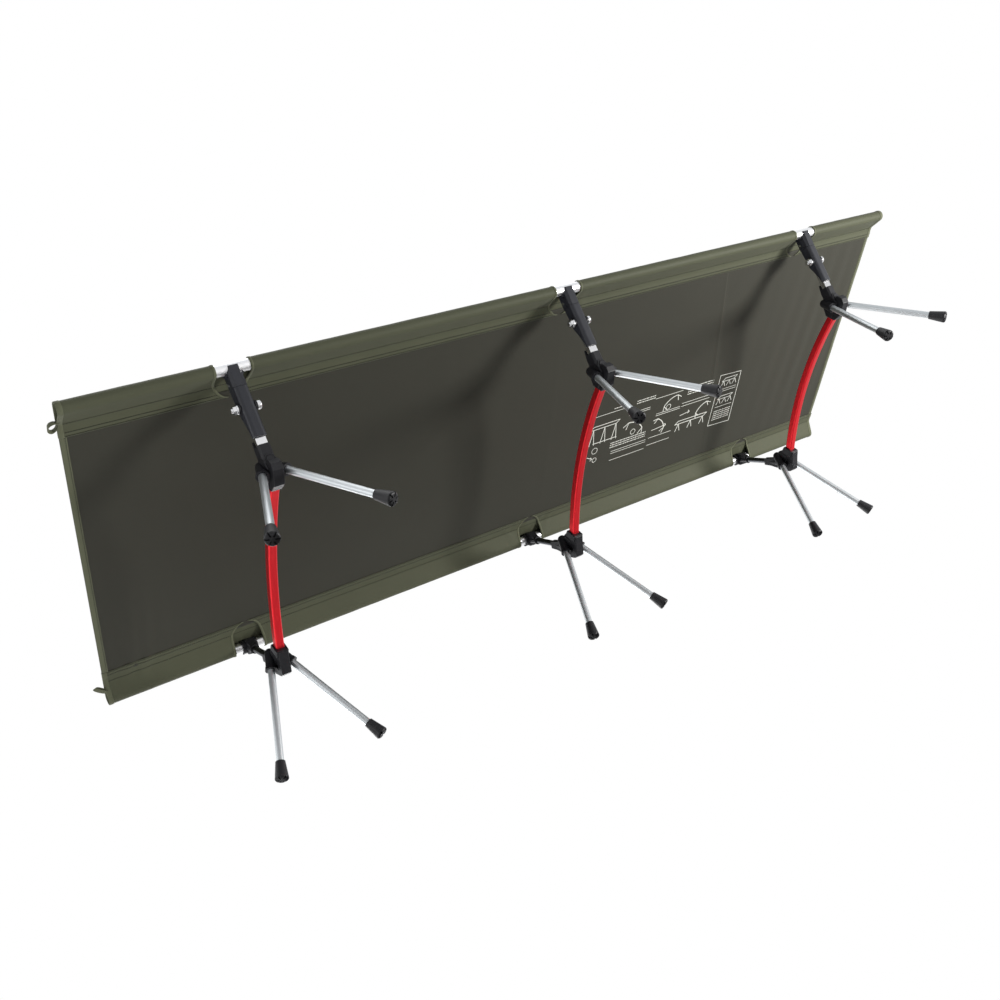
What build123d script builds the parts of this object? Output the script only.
"""Folding camp stretcher: a cloth bed on two long poles, carried by three bowed cross frames.

Axes: X runs along the bed, Y across it, Z up.  The origin is on the floor, under the middle of
the whole object.  Sizes are in millimetres.  The side with the tension levers is -Y ("lever
side"); the side with the fixed clips is +Y ("clip side").
"""
from build123d import *
import os
from math import acos, cos, degrees, sin, sqrt

os.makedirs("parts", exist_ok=True)

# ---------------------------------------------------------------- driving dimensions
bed_length = 1900.0          # cloth, end to end
pole_spacing = 615.0         # between the two pole axes
pole_axis_z = 346.0          # height of the pole axes
frame_pitch = 678.0          # from one cross frame to the next
frame_offset_y = 17.0        # cross frames sit this far towards the clip side
frame_count = 3

pole_r = 10.0                # side poles
pole_wall = 1.5
pole_sections = 3
pole_end_gap = 10.0          # pole stops this far inside the sleeve
plug_flange = 3.0
ferrule_length = 64.0
ferrule_wall = 1.0
cord_r = 1.5                 # shock cord

cloth = 1.0                  # cloth thickness
sleeve_slack = 0.4           # pole to sleeve
sleeve_width = 57.0          # pole axis to the inner edge of the hem
hem_width = 12.0             # sewn band where sleeve and panel overlap
notch_at_pole = 59.0         # sleeve cut-out where a frame reaches the pole
notch_shoulder = 44.0        # where it starts to close towards the hem
notch_at_hem = 14.0
tape_width = 12.0            # tape around the two short ends
tape_thickness = 0.8
loop_reach = 19.0            # how far the corner loops stand out of the near end
loop_height = 9.0
loop_band = 8.0
loop_thickness = 1.2
loop_inset = (22.0, 46.0)    # loop to pole axis, lever side and clip side

bow_side = 16.0              # red bowed tube, square with rounded corners
bow_corner = 3.0
bow_wall = 1.4
bow_fit = 0.05               # bowed tube in its hubs
bow_radius = 870.0
bow_crown_z = 225.0

hub_u = 216.0                # hub centre, out from the frame's middle
hub_z = 213.0
hub_width = 18.6
hub_cheek = 23.0             # width of the hub where the arm enters
bow_reach = hub_u - 10       # half span to the tube's end inside a hub

leg_r = 6.5
leg_wall = 1.2
leg_mouth = (21.0, hub_u - 1.5, hub_z - 15)   # where a leg leaves its socket
leg_foot = (98.0, hub_u + 44)      # where it meets the floor: along X, outwards
leg_in_socket = 24.0
socket_floor = 1.0           # plastic-to-tube gap at the bottom of a leg socket
socket_length = 36.0
socket_r = leg_r + 3.0
collar_r = leg_r + 4.5
collar_length = 7.0
slide_gap = 0.08             # leg tube in its socket
leg_cord_r = 1.25

foot_length = 34.0
foot_r_top = leg_r + 2.0
foot_r_end = leg_r + 5.8
foot_round = 3.5
foot_cup = 25.0              # depth of tube in the rubber foot
foot_flat = 0.8              # how far the tread is flattened by the floor
tread_slot = 2.4
tread_depth = 3.0

lever_width = 24.0
lever_face = 11.5            # axis to outer face
bolt_at = 68.5               # pole axis to lever bolt, along the arm
seam_r = 35.0                # lever end is an arc of this radius about the bolt
seam_gap = 0.5
lever_tip = 121.0            # pole axis to lever tip
lever_wall = 2.7
lever_web = 4.0
bolt_r = 4.0
bolt_gap = 0.05
washer_r = 8.4
washer_thickness = 4.0
washer_gap = 0.2
nut_flats = 13.0
nut_height = 8.0
thread_out = 3.0
cap_r = 8.2
nut_flange = 2.4             # thickness of the round flange on the nut

arm_width = 17.6             # bright arm inside the lever
arm_depth = 11.0
arm_wall = 2.0
arm_in_hub = 13.0            # arm stops this far from the hub centre
stub_mouth = 134.0           # pole axis to the mouth of the hub's stub
stub_depth = 19.0
stub_width = 21.6
stub_chamfer = 3.6
rivet_r = 6.2
rivet_at = 161.0             # pole axis to rivet, along the arm
rivet_height = 2.4
rivet_moat = 0.9             # groove around the rivet head

cup_gap = 0.35               # pole in the moving head
head_back = 14.0
head_chamfer = 4.5
head_pin_at = (24.0, 9.0)    # along the arm from the pole axis, towards the cloth
head_pin_r = 2.0
saddle_r = pole_r + 3.4
saddle_width = 31.0

clip_gap = 0.05              # pole in the fixed clip
clip_width = 30.0
clip_web = 15.0
clip_arm_r = 6.2
clip_arm_wall = 1.5
clip_socket_r = clip_arm_r + 2.8
clip_socket = (10.0, 36.0)   # from and to, along the arm from the pole axis
clip_arm_start = 16.0

# ---------------------------------------------------------------- derived places
mid_x = loop_reach / 2
frame_xs = [mid_x + frame_pitch * (i - (frame_count - 1) / 2) for i in range(frame_count)]
half_poles = pole_spacing / 2
sleeve_r_in = pole_r + sleeve_slack
sleeve_r_out = sleeve_r_in + cloth
cloth_top = pole_axis_z + sleeve_r_out
panel_z = cloth_top - 1.5 * cloth
lever_pole_y = -half_poles - frame_offset_y       # in a frame's own coordinates
clip_pole_y = half_poles - frame_offset_y
pole_length = bed_length - 2 * pole_end_gap


def arm_plane(pole_y, side):
    """Plane of an arm: local X runs from the pole axis to the hub centre, local Z is +X."""
    run = Vector(0, side * hub_u - pole_y, hub_z - pole_axis_z)
    return Plane(origin=(0, pole_y, pole_axis_z), x_dir=run.normalized(), z_dir=(1, 0, 0))


lever_plane = arm_plane(lever_pole_y, -1)
clip_plane = arm_plane(clip_pole_y, 1)
lever_hub_at = Vector(0, -hub_u - lever_pole_y, hub_z - pole_axis_z).length
clip_hub_at = Vector(0, hub_u - clip_pole_y, hub_z - pole_axis_z).length

# A leg's axis, and how high the middle of its tilted end face stands over the floor.
leg_rise = Vector(leg_foot[0] - leg_mouth[0], leg_foot[1] - leg_mouth[1], -leg_mouth[2])
leg_tilt = acos(-leg_rise.normalized().Z)
foot_lift = (foot_r_end - foot_round) * sin(leg_tilt) + foot_round * (1 - cos(leg_tilt)) - foot_flat
leg_out = (leg_mouth[2] - foot_lift) / cos(leg_tilt)      # mouth to foot end


def leg_plane(side_x, side_y):
    """Plane at a socket's mouth whose local Z runs down the leg."""
    origin = (side_x * leg_mouth[0], side_y * leg_mouth[1], leg_mouth[2])
    z_dir = (side_x * leg_rise.X, side_y * leg_rise.Y, leg_rise.Z)
    return Plane(origin=origin, x_dir=(0, 0, 1), z_dir=z_dir)


def save(part, name, move=(0, 0, 0)):
    """Place a finished piece, name it and write it out."""
    placed = part.moved(Location(move))
    placed.label = name
    export_step(placed, f"parts/{name}.step")


def save_per_frame(part, name):
    """Write one node for each cross frame."""
    for number, x in enumerate(frame_xs, start=1):
        save(part, f"{name}_{number}", (x, frame_offset_y, 0))


def save_grouped(part, name):
    """Write one node that holds the same piece at every cross frame."""
    places = [Location((x, frame_offset_y, 0)) for x in frame_xs]
    solids = [solid.moved(place) for place in places for solid in part.solids()]
    save(Compound(children=solids), name)


# ---------------------------------------------------------------- cloth
def sleeve(side):
    """Teardrop sleeve around one pole; its hem grips the panel.

    At every frame the lower layer and the outer side are cut out, and the top layer goes on.
    """
    def to_hem(inward):
        return side * (half_poles - inward)

    hem_low = cloth_top - 3 * cloth
    with BuildPart() as part:
        with BuildSketch(Plane.YZ.offset(mid_x - bed_length / 2)):
            with BuildSketch():
                with Locations((side * half_poles, pole_axis_z)):
                    Circle(sleeve_r_out)
                with Locations((to_hem(sleeve_width - 0.5), cloth_top - 1.5 * cloth)):
                    Rectangle(1, 3 * cloth)
                make_hull()
            with BuildSketch(mode=Mode.SUBTRACT):
                with Locations((side * half_poles, pole_axis_z)):
                    Circle(sleeve_r_in)
                with Locations((to_hem(sleeve_width - hem_width - 0.5), panel_z)):
                    Rectangle(1, cloth)
                make_hull()
            with BuildSketch(mode=Mode.SUBTRACT):
                with Locations((to_hem(sleeve_width - hem_width / 2), panel_z)):
                    Rectangle(hem_width, cloth)
        extrude(amount=bed_length)
        with BuildSketch(Plane.XY.offset(hem_low - 30)):
            for x in frame_xs:
                with BuildLine():
                    Polyline(
                        (x - notch_at_pole / 2, side * (half_poles + 20)),
                        (x - notch_at_pole / 2, to_hem(20)),
                        (x - notch_shoulder / 2, to_hem(sleeve_width - hem_width)),
                        (x - notch_at_hem / 2, to_hem(sleeve_width - 1)),
                        (x + notch_at_hem / 2, to_hem(sleeve_width - 1)),
                        (x + notch_shoulder / 2, to_hem(sleeve_width - hem_width)),
                        (x + notch_at_pole / 2, to_hem(20)),
                        (x + notch_at_pole / 2, side * (half_poles + 20)),
                        close=True,
                    )
                make_face()
        extrude(amount=30 + cloth, mode=Mode.SUBTRACT)
        with BuildSketch(Plane.XZ.offset(-to_hem(0))):
            with Locations(*[(x, pole_axis_z + 10) for x in frame_xs]):
                Rectangle(notch_at_pole, 40)
        extrude(amount=-side * 20, mode=Mode.SUBTRACT)
    return part.part


save(sleeve(-1), "sleeve_lever_side")
save(sleeve(1), "sleeve_clip_side")

panel_half = half_poles - sleeve_width + hem_width
with BuildPart() as bed_panel:
    with Locations((mid_x, 0, panel_z)):
        Box(bed_length, 2 * panel_half, cloth)
save(bed_panel.part, "bed_panel")

hem_edge = half_poles - sleeve_width
with BuildPart() as end_tapes:
    for end in (-1, 1):
        with Locations((mid_x + end * (bed_length - tape_width) / 2, 0, panel_z)):
            Box(tape_width, 2 * hem_edge, cloth + 2 * tape_thickness)
            Box(tape_width, 2 * hem_edge, cloth, mode=Mode.SUBTRACT)
    for side, inset in zip((-1, 1), loop_inset):
        near_end = mid_x - bed_length / 2
        at = (near_end - loop_reach / 2, side * (half_poles - inset), panel_z - loop_height / 2)
        with BuildSketch(Plane(origin=at, x_dir=(1, 0, 0), z_dir=(0, -1, 0))):
            SlotOverall(loop_reach, loop_height)
            SlotOverall(loop_reach - 2 * loop_thickness, loop_height - 2 * loop_thickness,
                        mode=Mode.SUBTRACT)
        extrude(amount=loop_band / 2, both=True)
save(end_tapes.part, "end_tapes")


# ---------------------------------------------------------------- poles
def along_x(x, y):
    """Plane across a pole, facing +X."""
    return Plane(origin=(x, y, pole_axis_z), x_dir=(0, 1, 0), z_dir=(1, 0, 0))


section_length = pole_length / pole_sections
pole_start = mid_x - pole_length / 2
for side, name in ((-1, "lever_side_pole"), (1, "clip_side_pole")):
    with BuildPart() as pole:
        for i in range(pole_sections):
            with BuildSketch(along_x(pole_start + i * section_length, side * half_poles)):
                Circle(pole_r)
                Circle(pole_r - pole_wall, mode=Mode.SUBTRACT)
            trim = 0.1 if i < pole_sections - 1 else 0.0
            extrude(amount=section_length - trim)
    save(pole.part, name)

bore_r = pole_r - pole_wall
with BuildPart() as pole_ferrules:
    for side in (-1, 1):
        for i in range(1, pole_sections):
            start = pole_start + i * section_length - ferrule_length / 2
            with BuildSketch(along_x(start, side * half_poles)):
                Circle(bore_r)
                Circle(bore_r - ferrule_wall, mode=Mode.SUBTRACT)
            extrude(amount=ferrule_length)
save(pole_ferrules.part, "pole_ferrules")

plug_depth = 18.0
with BuildPart() as pole_end_plugs:
    for side in (-1, 1):
        for end in (-1, 1):
            with BuildSketch(along_x(mid_x + end * pole_length / 2, side * half_poles)):
                Circle(bore_r)
            extrude(amount=-end * plug_depth)
            with BuildSketch(along_x(mid_x + end * pole_length / 2, side * half_poles)):
                Circle(pole_r)
            extrude(amount=end * plug_flange)
save(pole_end_plugs.part, "pole_end_plugs")

with BuildPart() as shock_cords:
    for side in (-1, 1):
        with BuildSketch(along_x(pole_start + plug_depth, side * half_poles)):
            Circle(cord_r)
        extrude(amount=pole_length - 2 * plug_depth)
    for x in frame_xs:
        for side_x in (-1, 1):
            for side_y in (-1, 1):
                mouth = leg_plane(side_x, side_y)
                mouth.origin += Vector(x, frame_offset_y, 0)
                with BuildSketch(mouth.offset(-leg_in_socket - socket_floor)):
                    Circle(leg_cord_r)
                extrude(amount=leg_in_socket + socket_floor + leg_out - foot_length)
save(shock_cords.part, "shock_cords")


# ---------------------------------------------------------------- bowed cross tube
bow_drop = bow_radius - sqrt(bow_radius ** 2 - bow_reach ** 2)


def bow_line():
    """Axis of the bowed tube."""
    return ThreePointArc(
        (0, -bow_reach, bow_crown_z - bow_drop),
        (0, 0, bow_crown_z),
        (0, bow_reach, bow_crown_z - bow_drop),
    )


def bow_sweep(grow, wall=0.0):
    """Square bar, or tube with a wall, along the bow; grow is added on every side."""
    side = bow_side + 2 * grow
    inside = side - 2 * wall
    with BuildPart() as part:
        with BuildLine() as path:
            bow_line()
        with BuildSketch(Plane(origin=path.line @ 0, x_dir=(1, 0, 0), z_dir=path.line % 0)):
            RectangleRounded(side, side, bow_corner + grow)
            if wall:
                RectangleRounded(inside, inside, bow_corner - wall, mode=Mode.SUBTRACT)
        sweep(path=path.line)
    return part.part


save_per_frame(bow_sweep(0, bow_wall), "bow_tube")


# ---------------------------------------------------------------- hubs
def leg_sockets(side):
    """Two splayed leg sockets with collars and domed tops, not yet bored."""
    with BuildPart() as part:
        for side_x in (-1, 1):
            mouth = leg_plane(side_x, side)
            with BuildSketch(mouth):
                Circle(socket_r)
            extrude(amount=-socket_length)
            with Locations(Location(mouth.offset(-socket_length).origin)):
                Sphere(socket_r)
            with BuildSketch(mouth):
                Circle(collar_r)
            extrude(amount=-collar_length, taper=6)
    return part.part


def hub_bores(side):
    """Everything that plugs into a hub: two legs and the bowed tube."""
    with BuildPart() as part:
        for side_x in (-1, 1):
            with BuildSketch(leg_plane(side_x, side).offset(5)):
                Circle(leg_r + slide_gap)
            extrude(amount=-(5 + leg_in_socket + socket_floor))
        add(bow_sweep(bow_fit))
    return part.part


def block(side, outline, width):
    """Flat-sided block with rounded corners, given as (outwards, up) points from the hub centre."""
    with BuildPart() as part:
        with BuildSketch(Plane.YZ) as sketch:
            with BuildLine():
                Polyline(*[(side * (hub_u + u), hub_z + z) for u, z in outline], close=True)
            make_face()
            fillet(sketch.vertices(), radius=2.5)
        extrude(amount=width / 2, both=True)
        broad_sides = part.faces().filter_by(Axis.X)
        chamfer(broad_sides.edges(), length=0.8)
    return part.part


def across_lever_arm(at):
    """Plane across the lever side arm, facing the hub; its local Y points outwards."""
    origin = lever_plane.from_local_coords((at, 0, 0))
    return Plane(origin=origin, x_dir=(1, 0, 0), z_dir=lever_plane.x_dir)


rivet_plane = Plane(origin=lever_plane.from_local_coords((rivet_at, 0, 0)),
                    x_dir=(1, 0, 0), z_dir=-lever_plane.y_dir)
rivet_base = stub_depth / 2 + 1.0

with BuildPart() as lever_hub:
    add(block(-1, [(-33, 6), (-33, -19), (-15, -31), (14, -29), (22, -21), (22, -9),
                   (8, 2), (-8, 8)], hub_width))
    add(block(-1, [(-30, 4), (-30, -12), (-12, -16), (8, -14), (16, 2), (4, 22), (-10, 22)],
              hub_cheek))
    with BuildSketch(across_lever_arm(stub_mouth)):
        with BuildLine():
            Polyline((-stub_width / 2, -stub_depth / 2), (stub_width / 2, -stub_depth / 2),
                     (stub_width / 2, stub_depth / 2 - stub_chamfer),
                     (stub_width / 2 - stub_chamfer, stub_depth / 2),
                     (stub_chamfer - stub_width / 2, stub_depth / 2),
                     (-stub_width / 2, stub_depth / 2 - stub_chamfer), close=True)
        make_face()
    extrude(amount=lever_hub_at - 3 - stub_mouth)
    with BuildSketch(rivet_plane.offset(-2)):
        Circle(rivet_r + rivet_moat + 1.8)
    extrude(amount=rivet_base + 2 + rivet_height * 0.4)
    with BuildSketch(lever_plane.offset(-21 / 2)):
        with BuildLine():
            Polyline((stub_mouth - 10, 8.0), (stub_mouth - 10, 10.0), (stub_mouth + 8, 13.5),
                     (lever_hub_at, 13.5), (lever_hub_at, 0), (stub_mouth + 4, 8.0), close=True)
        make_face()
    extrude(amount=21)
    add(leg_sockets(-1))
    add(hub_bores(-1), mode=Mode.SUBTRACT)
    with BuildSketch(lever_plane.offset(-arm_width / 2 - 0.05)):
        with Locations(((stub_mouth - 20 + lever_hub_at - arm_in_hub) / 2, 0)):
            Rectangle(lever_hub_at - arm_in_hub - stub_mouth + 20, arm_depth + 0.1)
    extrude(amount=arm_width + 0.1, mode=Mode.SUBTRACT)
    with BuildSketch(rivet_plane.offset(rivet_base)):
        Circle(rivet_r + rivet_moat)
    extrude(amount=12, mode=Mode.SUBTRACT)
save_per_frame(lever_hub.part, "lever_hub")

with BuildPart() as clip_hub:
    add(block(1, [(-44, 3), (-44, -23), (-32, -26), (-2, -36), (6, -31), (20, -8),
                  (10, 10), (-10, 14), (-26, 12)], hub_width))
    add(block(1, [(-45, 5), (-45, -21), (-30, -21), (-30, 8)], hub_cheek))
    add(block(1, [(-26, 8), (-26, -10), (10, -14), (17, 2), (8, 20), (-10, 22)], hub_cheek - 2))
    with BuildSketch(clip_plane.offset(-10)):
        with BuildLine():
            Polyline((clip_hub_at - 54, -7.5), (clip_hub_at - 54, 7.5), (clip_hub_at - 34, 9),
                     (clip_hub_at - 16, 13), (clip_hub_at, 13), (clip_hub_at, -13),
                     (clip_hub_at - 16, -13), (clip_hub_at - 34, -9), close=True)
        make_face()
    extrude(amount=3.5)
    with BuildSketch(Plane(origin=clip_plane.from_local_coords((clip_hub_at, 0, 0)),
                           x_dir=(1, 0, 0), z_dir=-clip_plane.x_dir)):
        Circle(13)
    extrude(amount=54, taper=4.5)
    add(leg_sockets(1))
    add(hub_bores(1), mode=Mode.SUBTRACT)
    with BuildSketch(Plane(origin=clip_plane.from_local_coords((clip_hub_at - 14, 0, 0)),
                           x_dir=(1, 0, 0), z_dir=-clip_plane.x_dir)):
        Circle(clip_arm_r + 0.05)
    extrude(amount=60, mode=Mode.SUBTRACT)
save_per_frame(clip_hub.part, "clip_hub")


# ---------------------------------------------------------------- fixed arm and clip
def across_clip_arm(at):
    """Plane across the fixed arm, facing the pole."""
    origin = clip_plane.from_local_coords((at, 0, 0))
    return Plane(origin=origin, x_dir=(1, 0, 0), z_dir=-clip_plane.x_dir)


with BuildPart() as clip_arm:
    with BuildSketch(across_clip_arm(clip_hub_at - 14)):
        Circle(clip_arm_r)
        Circle(clip_arm_r - clip_arm_wall, mode=Mode.SUBTRACT)
    extrude(amount=clip_hub_at - 14 - clip_arm_start)
save_grouped(clip_arm.part, "clip_arms")

with BuildPart() as pole_clip:
    with BuildSketch(clip_plane.offset(-clip_width / 2)):
        Circle(saddle_r)
        with Locations((-14, -3)):
            Rectangle(20, 22, rotation=20, mode=Mode.SUBTRACT)
    extrude(amount=clip_width)
    with BuildSketch(across_clip_arm(clip_socket[1])):
        Circle(clip_socket_r)
    extrude(amount=clip_socket[1] - clip_socket[0])
    with BuildSketch(clip_plane.offset(-clip_web / 2)):
        with BuildLine():
            Polyline((-3, -saddle_r + 2), (2, -saddle_r - 2), (13, -saddle_r - 2), (31, -8), (31, 8),
                     (12, saddle_r), (4, saddle_r - 1), close=True)
        make_face()
    extrude(amount=clip_web)
    with BuildSketch(clip_plane.offset(-clip_width)):
        Circle(pole_r + clip_gap)
    extrude(amount=2 * clip_width, mode=Mode.SUBTRACT)
    with BuildSketch(across_clip_arm(clip_socket[1] + 1)):
        Circle(clip_arm_r + 0.05)
    extrude(amount=clip_socket[1] + 1 - clip_arm_start, mode=Mode.SUBTRACT)
    with Locations((0, clip_pole_y + sleeve_r_out + 20, pole_axis_z)):
        Box(2 * clip_width, 40, 80, mode=Mode.SUBTRACT)
    with Locations((0, clip_pole_y, cloth_top - cloth - 0.3 + 20)):
        Box(2 * clip_width, 80, 40, mode=Mode.SUBTRACT)
save_grouped(pole_clip.part, "pole_clips")


# ---------------------------------------------------------------- lever side arm, lever and head
with BuildPart() as lever_arm:
    with BuildSketch(lever_plane.offset(-arm_width / 2)):
        with Locations((bolt_at, 0)):
            Circle(arm_depth / 2)
        with Locations(((bolt_at + lever_hub_at - arm_in_hub) / 2, 0)):
            Rectangle(lever_hub_at - arm_in_hub - bolt_at, arm_depth)
    extrude(amount=arm_width)
    with BuildSketch(lever_plane.offset(-arm_width / 2 + arm_wall)):
        with Locations(((bolt_at + 14 + lever_hub_at) / 2, 0)):
            Rectangle(lever_hub_at - bolt_at - 14, arm_depth - 2 * arm_wall)
    extrude(amount=arm_width - 2 * arm_wall, mode=Mode.SUBTRACT)
    with BuildSketch(lever_plane.offset(-arm_width)):
        with Locations((bolt_at, 0)):
            Circle(bolt_r + bolt_gap)
    extrude(amount=2 * arm_width, mode=Mode.SUBTRACT)
save_per_frame(lever_arm.part, "lever_arm")


def seam_point(radius, offset):
    """Point of an arc about the bolt, on the side of the pole."""
    return (bolt_at - sqrt(radius ** 2 - offset ** 2), offset)


with BuildPart() as lever:
    with BuildSketch(lever_plane.offset(-lever_width / 2)):
        with BuildLine():
            ThreePointArc(seam_point(seam_r, -lever_face), seam_point(seam_r, 0), seam_point(seam_r, 13))
            Polyline(seam_point(seam_r, 13), (58, 11.5), (78, 10.5), (92, 4.5), (108, -1),
                     (lever_tip, -4), (lever_tip, -lever_face), seam_point(seam_r, -lever_face))
        make_face()
    extrude(amount=lever_width)
    outer_edges = lever.edges().filter_by(Axis(lever_plane.origin, lever_plane.x_dir))
    fillet(outer_edges.sort_by(Axis(lever_plane.origin, lever_plane.y_dir))[0:2], radius=7.5)
    inner_width = lever_width - 2 * lever_wall
    with BuildSketch(lever_plane.offset(-inner_width / 2)):
        with Locations(((bolt_at - 22 + lever_tip + 5) / 2, 10 - lever_face + lever_web)):
            Rectangle(lever_tip + 5 - bolt_at + 22, 20)
    extrude(amount=inner_width, mode=Mode.SUBTRACT)
    with BuildSketch(lever_plane.offset(-lever_width)):
        with Locations((bolt_at, 0)):
            Circle(bolt_r + bolt_gap)
    extrude(amount=2 * lever_width, mode=Mode.SUBTRACT)
save_per_frame(lever.part, "tension_lever")

cup_r = pole_r + cup_gap
with BuildPart() as head:
    with BuildSketch(lever_plane.offset(-lever_width / 2)):
        with BuildLine():
            outer_seam = seam_point(seam_r + seam_gap, -lever_face)
            inner_seam = seam_point(seam_r + seam_gap, head_back)
            ThreePointArc(outer_seam, seam_point(seam_r + seam_gap, 0), inner_seam)
            Polyline(inner_seam, (9, head_back), (0, saddle_r - 1), (-5, 0), (-1, -lever_face - 1.2),
                     outer_seam)
        make_face()
    extrude(amount=lever_width)
    with BuildSketch(across_lever_arm(-30)):
        for way in (-1, 1):
            corner = way * lever_width / 2
            with BuildLine():
                Polyline((corner - way * head_chamfer, lever_face), (corner, lever_face - head_chamfer),
                         (corner, lever_face + 6), (corner - way * head_chamfer, lever_face + 6),
                         close=True)
            make_face()
    extrude(amount=80, mode=Mode.SUBTRACT)
    with BuildSketch(lever_plane.offset(-saddle_width / 2)):
        Circle(saddle_r)
        with Locations((-20, 0)):
            Rectangle(40, 50, mode=Mode.SUBTRACT)
        with Locations((20, -22)):
            Rectangle(60, 36, mode=Mode.SUBTRACT)
    extrude(amount=saddle_width)
    with BuildSketch(lever_plane.offset(-saddle_width)):
        Circle(cup_r)
        with Locations((-10, 0)):
            Rectangle(20, 2 * cup_r)
    extrude(amount=2 * saddle_width, mode=Mode.SUBTRACT)
    with BuildSketch(lever_plane.offset(-lever_width)):
        with Locations(head_pin_at):
            Circle(head_pin_r)
    extrude(amount=2 * lever_width, mode=Mode.SUBTRACT)
save_per_frame(head.part, "pole_hook")

with BuildPart() as head_pin:
    with BuildSketch(lever_plane.offset(-lever_width / 2 - 0.6)):
        with Locations(head_pin_at):
            Circle(head_pin_r)
    extrude(amount=lever_width + 1.2)
save_per_frame(head_pin.part, "hook_pin")

# ---------------------------------------------------------------- lever bolt, nut, washers, rivet
washer_in = lever_width / 2 + washer_gap
washer_out = washer_in + washer_thickness
with BuildPart() as pivot_bolt:
    with BuildSketch(lever_plane.offset(washer_out)):
        with Locations((bolt_at, 0)):
            Circle(bolt_r)
    extrude(amount=-(2 * washer_out + nut_height + thread_out))
    with BuildSketch(lever_plane.offset(washer_out)):
        with Locations((bolt_at, 0)):
            Circle(cap_r)
    cap = extrude(amount=nut_height)
    fillet(cap.edges().group_by(Axis.X)[-1], radius=3.8)
save_grouped(pivot_bolt.part, "pivot_bolts")

with BuildPart() as pivot_nut:
    with BuildSketch(lever_plane.offset(-washer_out)):
        with Locations((bolt_at, 0)):
            RegularPolygon(nut_flats / 2, 6, major_radius=False)
            Circle(bolt_r, mode=Mode.SUBTRACT)
    extrude(amount=-nut_height)
    with BuildSketch(lever_plane.offset(-washer_out)):
        with Locations((bolt_at, 0)):
            Circle(cap_r)
            Circle(bolt_r, mode=Mode.SUBTRACT)
    extrude(amount=-nut_flange)
save_grouped(pivot_nut.part, "pivot_nuts")

with BuildPart() as washers:
    for start in (-washer_out, washer_in):
        with BuildSketch(lever_plane.offset(start)):
            with Locations((bolt_at, 0)):
                Circle(washer_r)
                Circle(bolt_r, mode=Mode.SUBTRACT)
        extrude(amount=washer_thickness)
save_grouped(washers.part, "pivot_washers")

with BuildPart() as arm_rivet:
    with BuildSketch(rivet_plane.offset(rivet_base)):
        Circle(rivet_r)
    button = extrude(amount=rivet_height)
    fillet(button.edges().sort_by(Axis(rivet_plane.origin, rivet_plane.z_dir))[-1], radius=1.2)
save_grouped(arm_rivet.part, "arm_rivets")


# ---------------------------------------------------------------- legs and feet
def leg_tube(side_x, side_y):
    """Straight tube from the socket to inside the rubber foot."""
    with BuildPart() as part:
        with BuildSketch(leg_plane(side_x, side_y).offset(-leg_in_socket)):
            Circle(leg_r)
            Circle(leg_r - leg_wall, mode=Mode.SUBTRACT)
        extrude(amount=leg_in_socket + leg_out - foot_length + foot_cup)
    return part.part


def rubber_foot(side_x, side_y):
    """Tapered rubber foot with a slotted tread, flattened where it stands."""
    top = leg_plane(side_x, side_y).offset(leg_out - foot_length)
    with BuildPart() as part:
        taper = degrees(acos(foot_length / sqrt(foot_length ** 2 + (foot_r_end - foot_r_top) ** 2)))
        with BuildSketch(top):
            Circle(foot_r_top)
        cone = extrude(amount=foot_length, taper=-taper)
        along = Axis(top.origin, top.z_dir)
        fillet(cone.edges().sort_by(along)[-1], radius=foot_round)
        with BuildSketch(top):
            Circle(leg_r)
        extrude(amount=foot_cup, mode=Mode.SUBTRACT)
        with Locations((side_x * leg_foot[0], side_y * leg_foot[1], -15)):
            Box(80, 80, 30, mode=Mode.SUBTRACT)
        with BuildSketch(top.offset(foot_length + 1)):
            with PolarLocations(foot_r_end * 0.72, 6, start_angle=30):
                Rectangle(foot_r_end * 0.8, tread_slot)
        extrude(amount=-tread_depth - 1, mode=Mode.SUBTRACT)
    return part.part


corners = {"lever_near": (-1, -1), "lever_far": (1, -1), "clip_near": (-1, 1), "clip_far": (1, 1)}
for corner, (side_x, side_y) in corners.items():
    save_per_frame(leg_tube(side_x, side_y), f"leg_{corner}")
    save_per_frame(rubber_foot(side_x, side_y), f"foot_{corner}")
